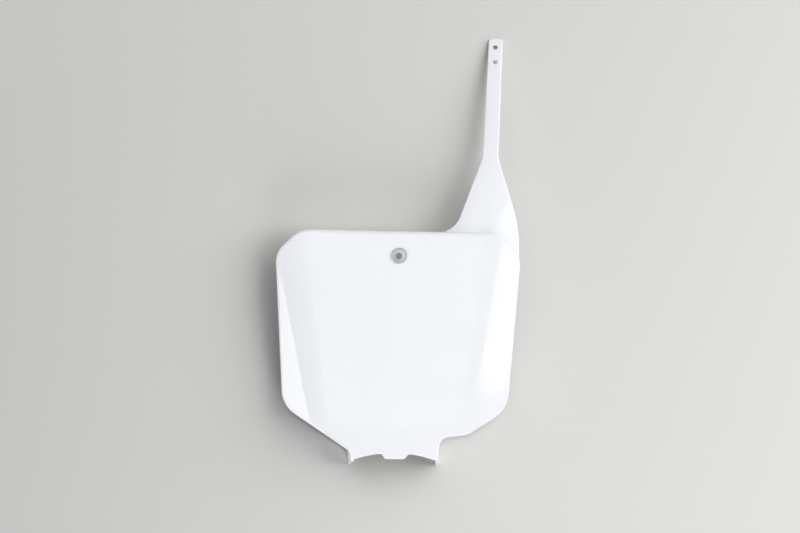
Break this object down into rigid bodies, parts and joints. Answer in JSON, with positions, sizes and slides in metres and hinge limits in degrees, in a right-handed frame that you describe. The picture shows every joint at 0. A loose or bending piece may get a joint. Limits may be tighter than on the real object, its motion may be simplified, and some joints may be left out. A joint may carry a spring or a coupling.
{
  "type": "racing number board",
  "caption": "Moulded front number board of a motocross bike: a shallow skirted face with rolled sides, a forked neck and a long strap arm, fixed by one bolt through a steel collar.",
  "frame": {"origin": "on the axis of the collar's bore, at the front of the face", "axes": "+X to the right and +Y up the board as seen from the front, +Z out of the face along the fixing bolt; the board lies face up"},
  "size_m": [0.2464, 0.4364, 0.0437],
  "materials": {
    "white_polypropylene": "smooth gloss as moulded",
    "zinc_plated_steel": "bright zinc, bluish"
  },
  "bodies": {
    "root": {"number_board": "white_polypropylene", "mounting_collar": "zinc_plated_steel"}
  },
  "joints": []
}
